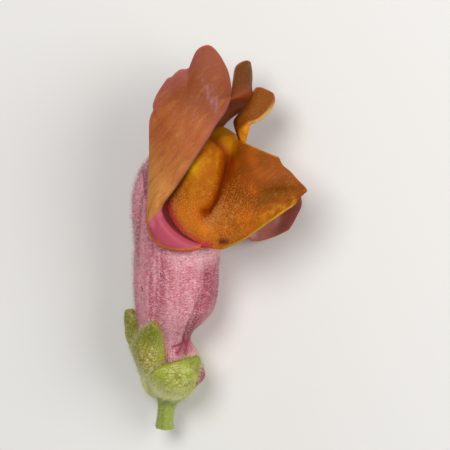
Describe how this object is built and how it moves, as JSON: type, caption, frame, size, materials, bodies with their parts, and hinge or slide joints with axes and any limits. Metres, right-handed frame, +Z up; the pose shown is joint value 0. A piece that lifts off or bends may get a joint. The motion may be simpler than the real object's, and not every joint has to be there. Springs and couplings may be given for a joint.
{
  "type": "snapdragon flower",
  "caption": "Picked snapdragon flower with a pink tube, an orange mouth of two lips and a green calyx, lying on its side.",
  "frame": {"origin": "centre of the flower's bounding box, at the level of the table it lies on", "axes": "+Y along the flower from the cut stalk to the lips, +X across it towards the lower lip, +Z up off the table"},
  "size_m": [0.0204, 0.0393, 0.0135],
  "materials": {
    "tube_petal": "soft petal skin, pink with crimson creases and white hairs",
    "upper_petal": "soft petal skin, salmon outside and orange brown inside",
    "lower_petal": "velvety petal skin, golden orange with red creases, pink back",
    "sepal_green": "soft leaf skin, yellow green with reddish margins",
    "stalk_green": "soft stalk skin, hairy",
    "pollen_yellow": "matte filament and pollen",
    "pistil_green": "matte"
  },
  "bodies": {
    "root": {"corolla_tube": "tube_petal", "upper_lip": "upper_petal", "lower_lip": "lower_petal", "sepal_1": "sepal_green", "sepal_2": "sepal_green", "sepal_3": "sepal_green", "sepal_4": "sepal_green", "sepal_5": "sepal_green", "pedicel": "stalk_green", "stamen_1": "pollen_yellow", "stamen_2": "pollen_yellow", "stamen_3": "pollen_yellow", "stamen_4": "pollen_yellow", "pistil": "pistil_green"}
  },
  "joints": []
}
